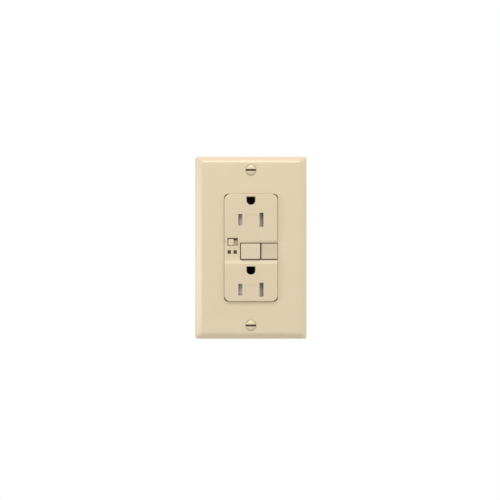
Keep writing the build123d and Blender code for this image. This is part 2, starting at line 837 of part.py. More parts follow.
# Sensing rings in their case, which both feed bars pass through
with BuildPart() as ring_case:
    post(board_top, ring_case_top, 0, ring_z, 8.9)
    post(board_top + 0.8, ring_case_top - 0.6, 0, ring_z, 8.1, Mode.SUBTRACT)
    post(board_top, ring_case_top, 0, ring_z, 4.6)
    post(board_top - 1, ring_case_top + 1, 0, ring_z, 3.8, Mode.SUBTRACT)
save(ring_case, "transformer_case")

ring_height = 2.4
for ring_name, ring_low in (("sense_ring", -21.4), ("neutral_ring", -18.8)):
    with BuildPart() as ring:
        post(ring_low, ring_low + ring_height, 0, ring_z, 7.9)
        post(ring_low - 1, ring_low + ring_height + 1, 0, ring_z, 4.8, Mode.SUBTRACT)
    save(ring, ring_name)

# Circuit board and the parts on it
with BuildPart() as board:
    with BuildSketch(out(board_under)):
        add(inside_outline(0.3))
        for side, end in corners():
            with Locations((side * 14.0, end * 30.9)):
                Rectangle(8.6, 8.4, mode=Mode.SUBTRACT)
    extrude(amount=board_top - board_under)
save(board, "circuit_board")

with BuildPart() as varistor:
    bar_x(-12.6, -9.8, -18.6, 3.2, 3.7)
save(varistor, "varistor")

# two cans and two film capacitors
with BuildPart() as capacitors:
    can_x = 12.6
    post(board_top, -15.0, can_x, 6.6, 2.5)
    post(board_top, -16.6, can_x, 0.6, 2.0)
    block(board_top, -18.6, -12.0, -4.2, 5.0, 2.4)
    block(board_top, -18.9, 8.4, 11.0, 2.2, 4.2)
save(capacitors, "capacitors")

with BuildPart() as resistors:
    body_radius = 0.9
    lying = board_top + body_radius
    for row in range(4):
        bar_z(-9.6, -4.4, 7.6 + 2.6 * row, lying, body_radius)
    for row in range(2):
        bar_x(-14.6, -9.6, lying, 8.4 + 2.4 * row, body_radius)
save(resistors, "resistors_and_diodes")

with BuildPart() as chip:
    chip_x = -0.2
    block(board_top, board_top + 1.6, chip_x, -3.4, 4.0, 8.6)
    for lead in range(4):
        for side in (1, -1):
            block(board_top, board_top + 0.9, chip_x + side * 2.5, -6.4 + 2.0 * lead, 1.0, 0.5)
save(chip, "control_chip")

with BuildPart() as thyristor:
    block(board_top, -18.0, 6.0, 2.6, 4.4, 3.4)
save(thyristor, "thyristor")
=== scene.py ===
import json
import math

import bmesh
import bpy
import numpy as np
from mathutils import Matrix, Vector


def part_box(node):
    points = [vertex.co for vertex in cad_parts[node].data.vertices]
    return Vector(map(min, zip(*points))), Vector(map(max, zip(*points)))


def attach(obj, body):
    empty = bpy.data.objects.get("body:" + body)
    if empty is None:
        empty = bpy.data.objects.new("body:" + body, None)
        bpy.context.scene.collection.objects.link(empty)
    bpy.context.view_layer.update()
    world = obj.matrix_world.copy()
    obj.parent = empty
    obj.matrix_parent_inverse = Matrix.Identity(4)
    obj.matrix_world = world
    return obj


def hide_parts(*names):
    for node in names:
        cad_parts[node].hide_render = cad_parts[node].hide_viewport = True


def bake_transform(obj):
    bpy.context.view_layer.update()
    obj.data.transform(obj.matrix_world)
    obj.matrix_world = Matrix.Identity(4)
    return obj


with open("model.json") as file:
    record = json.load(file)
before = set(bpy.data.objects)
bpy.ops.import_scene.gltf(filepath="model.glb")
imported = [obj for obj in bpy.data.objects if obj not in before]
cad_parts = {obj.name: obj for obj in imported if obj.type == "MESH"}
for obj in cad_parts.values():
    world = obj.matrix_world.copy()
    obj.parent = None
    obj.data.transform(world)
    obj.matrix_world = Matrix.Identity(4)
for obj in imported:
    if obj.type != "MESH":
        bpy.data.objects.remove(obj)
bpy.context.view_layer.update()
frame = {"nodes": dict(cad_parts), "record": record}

mm = 0.001
nodes = frame["nodes"]
nodeBody = {n: b for b, members in frame["record"]["behaviour"]["bodies"].items() for n in members}
nodeSlot = {s["node"]: s["material_slot"] for s in frame["record"]["subparts"]}


# camera, light and floor

studio = {
    "cameraPlace": (-0.00057, -0.480, -0.00142),
    "focalLength": 54.78,
    "sensorWidth": 36,
    "worldLight": 0.48,
    "backdropLight": 1.0,
    # each light: place, size and power
    "lights": {
        "overhead": ((0.0, -0.55, 0.85), 0.6, 7.5),
        "leftLow": ((-0.79, -0.28, -0.02), 0.28, 2.1),
        "rightFill": ((0.80, -0.45, 0.10), 0.8, 2.05),
    },
    "lightColour": (1.0, 0.985, 0.96),
    "floorDrop": 0.26,
    "floorReach": 0.30,
    "floorCentreY": -0.01,
    "floorSides": 96,
    "floorColour": (0.86, 0.86, 0.85, 1),
    "floorRoughness": 0.9,
}


def aimAt(obj, target):
    # the object's -Z looks at the target
    away = np.array(obj.location) - np.array(target)
    flat = math.hypot(away[0], away[1])
    obj.rotation_euler = (math.atan2(flat, away[2]), 0, math.atan2(away[0], -away[1]))


def buildCamera():
    camera = bpy.data.objects.new("camera", bpy.data.cameras.new("camera"))
    camera.location = studio["cameraPlace"]
    camera.rotation_euler = (math.pi / 2, 0, 0)
    camera.data.lens = studio["focalLength"]
    camera.data.sensor_width = studio["sensorWidth"]
    camera.data.clip_start = 0.01
    bpy.context.collection.objects.link(camera)
    bpy.context.scene.camera = camera


def buildLights():
    for name, (place, size, power) in studio["lights"].items():
        light = bpy.data.objects.new(name, bpy.data.lights.new(name, "AREA"))
        light.location = place
        light.data.size = size
        light.data.energy = power
        light.data.color = studio["lightColour"]
        aimAt(light, (0, 0, 0))
        bpy.context.collection.objects.link(light)


def buildWorld():
    # the backdrop is white, and the light it gives is set apart from how it looks
    world = bpy.data.worlds.new("studio")
    bpy.context.scene.world = world
    world.use_nodes = True
    tree = world.node_tree
    tree.nodes.clear()
    out = tree.nodes.new("ShaderNodeOutputWorld")
    mix = tree.nodes.new("ShaderNodeMixShader")
    path = tree.nodes.new("ShaderNodeLightPath")
    lit = tree.nodes.new("ShaderNodeBackground")
    seen = tree.nodes.new("ShaderNodeBackground")
    lit.inputs["Color"].default_value = (1, 1, 1, 1)
    lit.inputs["Strength"].default_value = studio["worldLight"]
    seen.inputs["Color"].default_value = (1, 1, 1, 1)
    seen.inputs["Strength"].default_value = studio["backdropLight"]
    tree.links.new(path.outputs["Is Camera Ray"], mix.inputs[0])
    tree.links.new(lit.outputs[0], mix.inputs[1])
    tree.links.new(seen.outputs[0], mix.inputs[2])
    tree.links.new(mix.outputs[0], out.inputs[0])
    bpy.context.scene.view_settings.view_transform = "Standard"


def buildFloor():
    # a round pale floor, well below the plate
    sides = studio["floorSides"]
    reach = studio["floorReach"]
    turn = np.linspace(0, 2 * np.pi, sides, endpoint=False)
    acrossY = reach * np.sin(turn) + studio["floorCentreY"]
    rim = np.stack([reach * np.cos(turn), acrossY, 0 * turn - studio["floorDrop"]], -1)
    mesh = bpy.data.meshes.new("floor")
    mesh.from_pydata(rim.tolist(), [], [list(range(sides))])
    floor = bpy.data.objects.new("floor", mesh)
    bpy.context.collection.objects.link(floor)
    material = bpy.data.materials.new("floorPaper")
    material.use_nodes = True
    shader = material.node_tree.nodes["Principled BSDF"]
    shader.inputs["Base Color"].default_value = studio["floorColour"]
    shader.inputs["Roughness"].default_value = studio["floorRoughness"]
    floor.data.materials.append(material)


def buildStudio():
    buildCamera()
    buildLights()
    buildWorld()
    buildFloor()
    print("studio ready")


# finishes

def newTree(name):
    material = bpy.data.materials.new(name)
    material.use_nodes = True
    tree = material.node_tree
    return material, tree, tree.nodes["Principled BSDF"]


def noiseOn(tree, coords, scale, detail, stretch=(1, 1, 1)):
    # object coordinates, stretched, into a noise of this many waves per metre
    mapping = tree.nodes.new("ShaderNodeMapping")
    mapping.inputs["Scale"].default_value = stretch
    noise = tree.nodes.new("ShaderNodeTexNoise")
    noise.inputs["Scale"].default_value = scale
    noise.inputs["Detail"].default_value = detail
    tree.links.new(coords.outputs["Object"], mapping.inputs["Vector"])
    tree.links.new(mapping.outputs["Vector"], noise.inputs["Vector"])
    return noise


def rampFrom(tree, source, dark, light, low=0.3, high=0.7):
    ramp = tree.nodes.new("ShaderNodeValToRGB")
    ramp.color_ramp.elements[0].position = low
    ramp.color_ramp.elements[1].position = high
    ramp.color_ramp.elements[0].color = (*dark, 1)
    ramp.color_ramp.elements[1].color = (*light, 1)
    tree.links.new(source, ramp.inputs[0])
    return ramp


def rangeFrom(tree, source, low, high):
    # the middle of the noise, where nearly all of it lies, becomes low to high
    spread = tree.nodes.new("ShaderNodeMapRange")
    spread.inputs["From Min"].default_value = 0.3
    spread.inputs["From Max"].default_value = 0.7
    spread.inputs["To Min"].default_value = low
    spread.inputs["To Max"].default_value = high
    tree.links.new(source, spread.inputs["Value"])
    return spread


def bumpFrom(tree, shader, source, distance):
    bump = tree.nodes.new("ShaderNodeBump")
    bump.inputs["Distance"].default_value = distance
    bump.inputs["Strength"].default_value = 1.0
    tree.links.new(source, bump.inputs["Height"])
    tree.links.new(bump.outputs["Normal"], shader.inputs["Normal"])


def mouldedPlastic(name, dark, light, rough, grain=9000, grainDepth=0.000004, flow=60, gloss=0.5):
    # slow colour drift from the melt, fine spark-eroded grain in the bump
    material, tree, shader = newTree(name)
    coords = tree.nodes.new("ShaderNodeTexCoord")
    drift = noiseOn(tree, coords, flow, 3)
    ramp = rampFrom(tree, drift.outputs[0], dark, light)
    tree.links.new(ramp.outputs["Color"], shader.inputs["Base Color"])
    fine = noiseOn(tree, coords, grain, 2)
    spread = rangeFrom(tree, fine.outputs[0], rough[0], rough[1])
    tree.links.new(spread.outputs["Result"], shader.inputs["Roughness"])
    shader.inputs["Specular IOR Level"].default_value = gloss
    bumpFrom(tree, shader, fine.outputs[0], grainDepth)
    return material


metalBlotch = 320
metalGrainDepth = 0.000003


def rolledMetal(name, dark, light, rough, stretch=(1, 1, 12), grain=900, metallic=1.0):
    # lines left by rolling or drawing, and faint blotches of plating
    material, tree, shader = newTree(name)
    coords = tree.nodes.new("ShaderNodeTexCoord")
    lines = noiseOn(tree, coords, grain, 5, stretch)
    blotch = noiseOn(tree, coords, metalBlotch, 3)
    ramp = rampFrom(tree, blotch.outputs[0], dark, light)
    tree.links.new(ramp.outputs["Color"], shader.inputs["Base Color"])
    spread = rangeFrom(tree, lines.outputs[0], rough[0], rough[1])
    tree.links.new(spread.outputs["Result"], shader.inputs["Roughness"])
    shader.inputs["Metallic"].default_value = metallic
    bumpFrom(tree, shader, lines.outputs[0], metalGrainDepth)
    return material


def tintAlong(material, axis, start, end, colour):
    # the colour takes over as the object coordinate goes from start to end, in metres;
    # in a mix node of colours, inputs 6 and 7 and output 2 are the colours
    tree = material.node_tree
    shader = tree.nodes["Principled BSDF"]
    coords = tree.nodes.new("ShaderNodeTexCoord")
    split = tree.nodes.new("ShaderNodeSeparateXYZ")
    share = tree.nodes.new("ShaderNodeMapRange")
    share.inputs["From Min"].default_value = start
    share.inputs["From Max"].default_value = end
    mix = tree.nodes.new("ShaderNodeMix")
    mix.data_type = "RGBA"
    paint = shader.inputs["Base Color"].links[0].from_socket
    tree.links.new(coords.outputs["Object"], split.inputs[0])
    tree.links.new(split.outputs[axis], share.inputs["Value"])
    tree.links.new(share.outputs["Result"], mix.inputs[0])
    tree.links.new(paint, mix.inputs[6])
    mix.inputs[7].default_value = (*colour, 1)
    tree.links.new(mix.outputs[2], shader.inputs["Base Color"])


laminate = {
    "mask": (0.012, 0.080, 0.030), "overCopper": (0.030, 0.150, 0.050),
    "cellsPerMetre": 95, "tracksPerCell": 5.5, "trackEdge": (0.22, 0.26), "trackHeight": 0.00006,
    "weave": 4000, "rough": (0.25, 0.4),
}


def boardLaminate(name):
    # green mask over copper tracks: rings of equal largest-axis distance round scattered pads
    material, tree, shader = newTree(name)
    coords = tree.nodes.new("ShaderNodeTexCoord")
    pads = tree.nodes.new("ShaderNodeTexVoronoi")
    pads.distance = "CHEBYCHEV"
    pads.inputs["Scale"].default_value = laminate["cellsPerMetre"]
    tree.links.new(coords.outputs["Object"], pads.inputs["Vector"])
    tracks = tree.nodes.new("ShaderNodeMath")
    tracks.operation = "PINGPONG"
    tracks.inputs[1].default_value = 0.5 / laminate["tracksPerCell"]
    tree.links.new(pads.outputs["Distance"], tracks.inputs[0])
    low, high = (edge / laminate["tracksPerCell"] for edge in laminate["trackEdge"])
    ramp = rampFrom(tree, tracks.outputs[0], laminate["mask"], laminate["overCopper"], low, high)
    tree.links.new(ramp.outputs["Color"], shader.inputs["Base Color"])
    weave = noiseOn(tree, coords, laminate["weave"], 2)
    spread = rangeFrom(tree, weave.outputs[0], *laminate["rough"])
    tree.links.new(spread.outputs["Result"], shader.inputs["Roughness"])
    bumpFrom(tree, shader, ramp.outputs["Color"], laminate["trackHeight"])
    return material


lacquer = {
    "tan": (0.52, 0.36, 0.19), "ring": (0.13, 0.05, 0.03), "ringEdge": (0.72, 0.78), "ringScale": 190,
    "grain": 3000, "rough": (0.35, 0.5),
}


def bandedResistor(name):
    # tan lacquer with dark rings along the body
    material, tree, shader = newTree(name)
    coords = tree.nodes.new("ShaderNodeTexCoord")
    wave = tree.nodes.new("ShaderNodeTexWave")
    wave.bands_direction = "Z"
    wave.inputs["Scale"].default_value = lacquer["ringScale"]
    wave.inputs["Distortion"].default_value = 0.0
    tree.links.new(coords.outputs["Object"], wave.inputs["Vector"])
    ramp = rampFrom(tree, wave.outputs["Fac"], lacquer["tan"], lacquer["ring"], *lacquer["ringEdge"])
    tree.links.new(ramp.outputs["Color"], shader.inputs["Base Color"])
    fine = noiseOn(tree, coords, lacquer["grain"], 2)
    spread = rangeFrom(tree, fine.outputs[0], *lacquer["rough"])
    tree.links.new(spread.outputs["Result"], shader.inputs["Roughness"])
    return material


plastics = {
    "ivory_plate": {
        "name": "ivoryPlate", "dark": (0.685, 0.572, 0.402), "light": (0.70, 0.587, 0.415),
        "rough": (0.30, 0.38), "grain": 7000, "grainDepth": 0.0000022,
    },
    "ivory_face": {
        "name": "ivoryFace", "dark": (0.665, 0.552, 0.388), "light": (0.683, 0.570, 0.405),
        "rough": (0.40, 0.48),
    },
    "ivory_button": {
        "name": "ivoryButton", "dark": (0.665, 0.555, 0.392), "light": (0.683, 0.572, 0.408),
        "rough": (0.36, 0.45), "grainDepth": 0.000003,
    },
    "ivory_screw": {
        "name": "ivoryEnamel", "dark": (0.665, 0.56, 0.375), "light": (0.70, 0.59, 0.40),
        "rough": (0.22, 0.32), "grain": 2500, "grainDepth": 0.000006, "flow": 900,
    },
    "shutter_grey": {
        "name": "shutterGrey", "dark": (0.72, 0.69, 0.74), "light": (0.80, 0.77, 0.82),
        "rough": (0.28, 0.36), "grain": 8000,
    },
    "housing_plastic": {
        "name": "housingBlack", "dark": (0.020, 0.020, 0.022), "light": (0.028, 0.028, 0.030),
        "rough": (0.45, 0.58), "grain": 5200, "grainDepth": 0.000016, "flow": 120,
    },
    "tray_plastic": {
        "name": "trayNylon", "dark": (0.62, 0.61, 0.56), "light": (0.68, 0.67, 0.62),
        "rough": (0.42, 0.55), "grain": 6000, "grainDepth": 0.000006,
    },
    "fibre": {
        "name": "pressedFibre", "dark": (0.085, 0.05, 0.03), "light": (0.14, 0.085, 0.05),
        "rough": (0.75, 0.9), "grain": 2600, "grainDepth": 0.00003, "flow": 1400, "gloss": 0.2,
    },
    "ferrite": {
        "name": "ferriteGrey", "dark": (0.022, 0.022, 0.025), "light": (0.035, 0.035, 0.038),
        "rough": (0.4, 0.6), "grain": 3500, "grainDepth": 0.00001,
    },
    "varistor_blue": {
        "name": "dippedBlue", "dark": (0.012, 0.06, 0.26), "light": (0.02, 0.085, 0.33),
        "rough": (0.22, 0.34), "grain": 1200, "grainDepth": 0.00002, "flow": 600,
    },
    "capacitor_black": {
        "name": "sleeveBlack", "dark": (0.012, 0.013, 0.02), "light": (0.02, 0.022, 0.03),
        "rough": (0.24, 0.34), "grain": 2500, "grainDepth": 0.000006,
    },
    "chip_black": {
        "name": "chipEpoxy", "dark": (0.012, 0.012, 0.013), "light": (0.02, 0.02, 0.021),
        "rough": (0.5, 0.65), "grain": 6000, "grainDepth": 0.00001,
    },
}

metals = {
    "zinc_steel": {
        "name": "zincSteel", "dark": (0.55, 0.56, 0.58), "light": (0.68, 0.69, 0.70), "rough": (0.28, 0.44),
    },
    "spring_steel": {
        "name": "springSteel", "dark": (0.42, 0.42, 0.44), "light": (0.52, 0.52, 0.54),
        "rough": (0.22, 0.32), "stretch": (1, 1, 1), "grain": 4000,
    },
    "brass": {
        "name": "stampedBrass", "dark": (0.70, 0.46, 0.17), "light": (0.80, 0.56, 0.24),
        "rough": (0.24, 0.40),
    },
    "nickel": {
        "name": "nickelPlate", "dark": (0.62, 0.60, 0.55), "light": (0.72, 0.70, 0.65), "rough": (0.20, 0.34),
    },
    "green_steel": {
        "name": "greenSteel", "dark": (0.03, 0.22, 0.07), "light": (0.05, 0.30, 0.10),
        "rough": (0.28, 0.42), "stretch": (1, 1, 1), "grain": 1500, "metallic": 0.6,
    },
    "copper_wire": {
        "name": "copperEnamel", "dark": (0.50, 0.17, 0.06), "light": (0.66, 0.26, 0.10),
        "rough": (0.20, 0.32), "stretch": (1, 1, 1), "grain": 2500,
    },
    "iron": {
        "name": "turnedIron", "dark": (0.36, 0.36, 0.37), "light": (0.46, 0.46, 0.47),
        "rough": (0.26, 0.40), "stretch": (1, 1, 1), "grain": 2500,
    },
}

testIvory = (0.60, 0.50, 0.355)
# slot, axis, where the tint starts, where it is full, colour; a later one lies over an earlier one
tints = [
    # painted shade below the face, in the gaps and slots: darker towards the wall
    ("ivory_face", "Y", -0.0061, -0.0050, (0.26, 0.19, 0.11)),
    # the test button is a shade darker than the reset button
    ("ivory_button", "X", 0.0060, 0.0062, testIvory),
    # painted shade on the button sides below the band floor, in the gaps round them
    ("ivory_button", "Y", -0.0061, -0.0054, (0.085, 0.042, 0.010)),
    # its right end shows no gap, so it gets no painted shade
    ("ivory_button", "X", 0.01615, 0.01630, testIvory),
    # painted shade on the floor and lower walls of the screw slot and on the head's rim, and the bare steel
    # shank under the enamelled head
    ("ivory_screw", "Y", -0.00576, -0.00560, (0.085, 0.062, 0.025)),
    ("ivory_screw", "Y", -0.0043, -0.0041, (0.36, 0.36, 0.37)),
    # the neutral shutters are a darker grey than the hot ones
    ("shutter_grey", "X", -0.0002, 0.0002, (0.50, 0.47, 0.425)),
    # painted shade on the brass nearest to the room, the sounder's disc, seen at the bottom of its ports
    ("brass", "Y", -0.0010, -0.0020, (0.25, 0.185, 0.08)),
]


def buildFinishes():
    made = {slot: mouldedPlastic(**values) for slot, values in plastics.items()}
    made.update({slot: rolledMetal(**values) for slot, values in metals.items()})
    made["board_green"] = boardLaminate("boardLaminate")
    made["resistor_tan"] = bandedResistor("resistorTan")
    for slot, axis, start, end, colour in tints:
        tintAlong(made[slot], axis, start, end, colour)
    return made


# making meshes

def outwardMesh(name, corners, faces):
    # a closed mesh in metres, its faces turned outwards
    mesh = bpy.data.meshes.new(name)
    mesh.from_pydata(corners.tolist(), [], faces)
    work = bmesh.new()
    work.from_mesh(mesh)
    bmesh.ops.recalc_face_normals(work, faces=work.faces)
    work.to_mesh(mesh)
    work.free()
    return mesh


def placeMesh(name, corners, faces, node, sharpAngle, rides=True):
    # a piece with the finish of the node it stands for, on that node's body unless it is to be blended
    piece = bpy.data.objects.new(name, outwardMesh(name, corners, faces))
    bpy.context.collection.objects.link(piece)
    settle(piece, node, sharpAngle, rides)
    return piece


def settle(piece, node, sharpAngle, rides=True):
    piece.data.shade_smooth()
    piece.data.set_sharp_from_angle(angle=math.radians(sharpAngle))
    piece.data.materials.clear()
    piece.data.materials.append(finishes[nodeSlot[node]])
    if rides:
        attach(piece, nodeBody[node])


def ringFaces(rows, cols, looped):
    # quads between neighbouring rings of points; each ring is closed
    r, c = np.meshgrid(np.arange(rows if looped else rows - 1), np.arange(cols), indexing="ij")
    nextRow = (r + 1) % rows
    nextCol = (c + 1) % cols
    quads = [r * cols + c, r * cols + nextCol, nextRow * cols + nextCol, nextRow * cols + c]
    return np.stack(quads, -1).reshape(-1, 4)


def ringsToMesh(rings, looped=False):
    # rings is rows x cols x 3; open ends are closed by one flat face each
    rows, cols = rings.shape[:2]
    faces = ringFaces(rows, cols, looped).tolist()
    if not looped:
        faces.append(list(range(cols)))
        faces.append(list(range((rows - 1) * cols, rows * cols)))
    return rings.reshape(-1, 3), faces


def joinMeshes(parts):
    # several closed meshes as one set of corners and faces
    corners = []
    faces = []
    start = 0
    for part, partFaces in parts:
        corners.append(part)
        faces += [[start + i for i in face] for face in partFaces]
        start += len(part)
    return np.concatenate(corners), faces


def softenLine(points, cuts, steps, hold=0.03):
    # each corner of a polyline becomes a quadratic curve that starts and ends one cut away,
    # with one more point just outside it that keeps the flat beside it flat
    points = np.asarray(points, float)
    cuts = np.asarray(cuts, float)[:, None, None]
    before = np.roll(points, 1, 0) - points
    after = np.roll(points, -1, 0) - points
    before = (before / np.linalg.norm(before, axis=1)[:, None])[:, None]
    after = (after / np.linalg.norm(after, axis=1)[:, None])[:, None]
    t = np.linspace(0, 1, steps)[None, :, None]
    centre = points[:, None]
    curve = centre + cuts * ((1 - t) ** 2 * before + t ** 2 * after)
    lead = centre + (cuts + hold) * before
    trail = centre + (cuts + hold) * after
    return np.concatenate([lead, curve, trail], 1).reshape(-1, points.shape[1])


def softenedProfile(outline, cuts, capRadius, hold=0.03):
    # a profile of radius and distance, its inner corners softened, its ends small flat caps
    steps = 5
    perCorner = steps + 2
    rows = softenLine(outline, cuts, steps, hold)[perCorner:-perCorner]
    return np.concatenate([[(capRadius, outline[0][1])], rows, [(capRadius, outline[-1][1])]])


def headProfile(radius, top, seat, neck, cuts, capRadius):
    # a flat round head with softened edges, down to the neck under it
    steps = 5
    perCorner = steps + 2
    outline = [(0.3, top), (radius, top), (radius, seat), (neck, seat)]
    rows = softenLine(outline, cuts, steps)[perCorner:-1]
    return np.concatenate([[(capRadius, top)], rows])


def roundedLoops(halfWide, halfTall, radius, perCorner, perSide):
    # for every row, a rounded rectangle: four quarter arcs with even points on the sides between them
    halfWide = np.asarray(halfWide, float)[:, None, None]
    halfTall = np.asarray(halfTall, float)[:, None, None]
    radius = np.asarray(radius, float)[:, None, None]
    signX = np.array([1, -1, -1, 1])[None, :, None]
    signZ = np.array([1, 1, -1, -1])[None, :, None]
    angle = (np.arange(4)[:, None] + np.linspace(0, 1, perCorner)[None, :])[None] * np.pi / 2
    arcX = signX * (halfWide - radius) + radius * np.cos(angle)
    arcZ = signZ * (halfTall - radius) + radius * np.sin(angle)
    share = (np.arange(1, perSide + 1) / (perSide + 1))[None, None, :]
    sideX = arcX[:, :, -1:] * (1 - share) + np.roll(arcX, -1, 1)[:, :, :1] * share
    sideZ = arcZ[:, :, -1:] * (1 - share) + np.roll(arcZ, -1, 1)[:, :, :1] * share
    x = np.concatenate([arcX, sideX], 2).reshape(arcX.shape[0], -1)
    z = np.concatenate([arcZ, sideZ], 2).reshape(arcX.shape[0], -1)
    return x, z


def frameOf(axis):
    # two directions square to the axis
    axis = np.asarray(axis, float) / np.linalg.norm(axis)
    helper = np.array([0, 0, 1.0]) if abs(axis[2]) < 0.9 else np.array([1.0, 0, 0])
    side = np.cross(helper, axis)
    side /= np.linalg.norm(side)
    return axis, side, np.cross(axis, side)


def turnedRings(radii, along, centre, axis, segments):
    # a profile of radius against distance, turned round the axis; radii may vary round each ring
    axis, side, up = frameOf(axis)
    angle = np.linspace(0, 2 * np.pi, segments, endpoint=False)
    radii = np.asarray(radii, float)
    if radii.ndim == 1:
        radii = np.repeat(radii[:, None], segments, 1)
    along = np.asarray(along, float)[:, None, None]
    spoke = np.cos(angle)[None, :, None] * side + np.sin(angle)[None, :, None] * up
    return np.asarray(centre, float) + along * axis + radii[:, :, None] * spoke


def threadRings(start, end, radius, pitch, depth, segments, perTurn=10):
    # radius falls to the root and rises again once per pitch, shifted round the bar by the angle;
    # the ridge is a trapezium of this height and slope, clipped at the crest, and fades at both ends
    ridgeHeight, ridgeSlope = 1.25, 3.2
    rows = max(4, int(abs(end - start) / pitch * perTurn))
    along = np.linspace(start, end, rows)
    angle = np.linspace(0, 1, segments, endpoint=False)
    phase = (along[:, None] / pitch - angle[None, :]) % 1.0
    ridge = np.clip(ridgeHeight - np.abs(phase - 0.5) * ridgeSlope, 0, 1)
    fade = np.clip(np.minimum(along - along.min(), along.max() - along)[:, None] / pitch, 0, 1)
    return along, radius - depth * (1 - ridge) * fade - depth * (1 - fade)


def wireRings(path, outward, wireRadius, segments=10):
    # a round wire along a path, its section turned to face outward at each point
    tangent = np.gradient(path, axis=0)
    tangent /= np.linalg.norm(tangent, axis=1)[:, None]
    outward = outward - (outward * tangent).sum(1)[:, None] * tangent
    outward /= np.linalg.norm(outward, axis=1)[:, None]
    third = np.cross(tangent, outward)
    angle = np.linspace(0, 2 * np.pi, segments, endpoint=False)[None, :, None]
    return path[:, None] + wireRadius * (np.cos(angle) * outward[:, None] + np.sin(angle) * third[:, None])


def springMesh(low, high, centre, axis, radius, wireRadius, turns):
    # a helix whose end turns lie flat and whose middle turns are evenly spaced
    perTurn = 28
    flatTurns = 0.9
    axis, side, up = frameOf(axis)
    t = np.linspace(0, 1, int(turns * perTurn))
    ease = np.clip((t * turns - flatTurns) / (turns - 2 * flatTurns), 0, 1)
    along = (low + wireRadius) + (high - low - 2 * wireRadius) * ease
    angle = t * turns * 2 * np.pi
    outward = np.cos(angle)[:, None] * side + np.sin(angle)[:, None] * up
    path = np.asarray(centre, float) + along[:, None] * axis + (radius - wireRadius) * outward
    return ringsToMesh(wireRings(path, outward, wireRadius))


def cutAway(piece, centre, size):
    # takes a box out of a closed piece
    low = np.asarray(centre, float) - np.asarray(size, float) / 2
    corner = np.array([[x, y, z] for x in (0, 1) for y in (0, 1) for z in (0, 1)], float)
    corners = low + corner * np.asarray(size, float)
    faces = [[0, 1, 3, 2], [4, 6, 7, 5], [0, 4, 5, 1], [2, 3, 7, 6], [0, 2, 6, 4], [1, 5, 7, 3]]
    mesh = bpy.data.meshes.new("cutter")
    mesh.from_pydata(corners.tolist(), [], faces)
    carve(piece, mesh)


def carve(piece, cutterMesh):
    # boolean difference, applied at once
    cutter = bpy.data.objects.new("cutter", cutterMesh)
    bpy.context.collection.objects.link(cutter)
    modifier = piece.modifiers.new("cut", "BOOLEAN")
    modifier.operation = "DIFFERENCE"
    modifier.solver = "EXACT"
    modifier.object = cutter
    applyModifiers(piece)
    bpy.data.objects.remove(cutter)
    bpy.data.meshes.remove(cutterMesh)


def applyModifiers(piece):
    bpy.context.view_layer.update()
    graph = bpy.context.evaluated_depsgraph_get()
    done = bpy.data.meshes.new_from_object(piece.evaluated_get(graph))
    old = piece.data
    name = old.name
    piece.modifiers.clear()
    piece.data = done
    bpy.data.meshes.remove(old)
    done.name = name


def evenNormals(piece):
    # the broad flats decide the shading, so that broken edges don't shade them
    even = piece.modifiers.new("even", "WEIGHTED_NORMAL")
    even.mode = "FACE_AREA"
    even.weight = 100
    even.keep_sharp = True
    applyModifiers(piece)


# CAD pieces whose shape is right, with their edges broken as moulding and stamping leave them

edging = {"mergeWithin": 0.000002, "flatWithin": 0.6, "breakOver": 38, "sharpOver": 40}

# width in millimetres and number of steps
edgeBreaks = {
    "face": (0.16, 3), "reset_button": (0.16, 3), "test_button": (0.16, 3), "switch_knob": (0.12, 2),
    "switch_body": (0.08, 2), "mounting_strap": (0.14, 2), "ground_clips": (0.06, 2),
    "screw_retainers": (0.08, 2), "rear_housing": (0.22, 2), "contact_tray": (0.10, 2),
    "shutter_cage_upper": (0.08, 2), "shutter_cage_lower": (0.08, 2), "hot_shutter_upper": (0.12, 3),
    "neutral_shutter_upper": (0.12, 3), "hot_shutter_lower": (0.12, 3),
    "neutral_shutter_lower": (0.12, 3), "hot_outlet_bus": (0.06, 2), "neutral_outlet_bus": (0.06, 2),
    "hot_line_terminal": (0.08, 2), "neutral_line_terminal": (0.08, 2), "hot_feed_bar": (0.08, 2),
    "neutral_feed_bar": (0.08, 2), "hot_contact_arm": (0.06, 2), "neutral_contact_arm": (0.06, 2),
    "hot_load_clamp": (0.10, 2), "neutral_load_clamp": (0.10, 2), "hot_line_clamp": (0.10, 2),
    "neutral_line_clamp": (0.10, 2), "latch_carrier": (0.10, 2), "latch_plate": (0.05, 2),
    "test_leaf": (0.04, 2), "test_contacts": (0.06, 2), "coil_bobbin": (0.08, 2),
    "transformer_case": (0.14, 2), "circuit_board": (0.05, 1), "control_chip": (0.06, 2),
    "thyristor": (0.08, 2), "sounder": (0.06, 2),
}


def breakEdges(node, width, segments):
    # copy, merge, join flat triangles, and round every edge sharper than the bevel angle
    copy = nodes[node].data.copy()
    work = bmesh.new()
    work.from_mesh(copy)
    bmesh.ops.remove_doubles(work, verts=work.verts, dist=edging["mergeWithin"])
    flat = math.radians(edging["flatWithin"])
    bmesh.ops.dissolve_limit(work, angle_limit=flat, verts=work.verts, edges=work.edges)
    work.to_mesh(copy)
    work.free()
    piece = bpy.data.objects.new(node + "_piece", copy)
    copy.name = node + "_piece"
    bpy.context.collection.objects.link(piece)
    bevel = piece.modifiers.new("edges", "BEVEL")
    bevel.width = width * mm
    bevel.segments = segments
    bevel.limit_method = "ANGLE"
    bevel.angle_limit = math.radians(edging["breakOver"])
    bevel.use_clamp_overlap = True
    applyModifiers(piece)
    settle(piece, node, edging["sharpOver"])
    evenNormals(piece)
    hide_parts(node)


def buildEdgedPieces():
    for node, (width, segments) in edgeBreaks.items():
        breakEdges(node, width, segments)
    print("edged pieces ready")


# wall plate

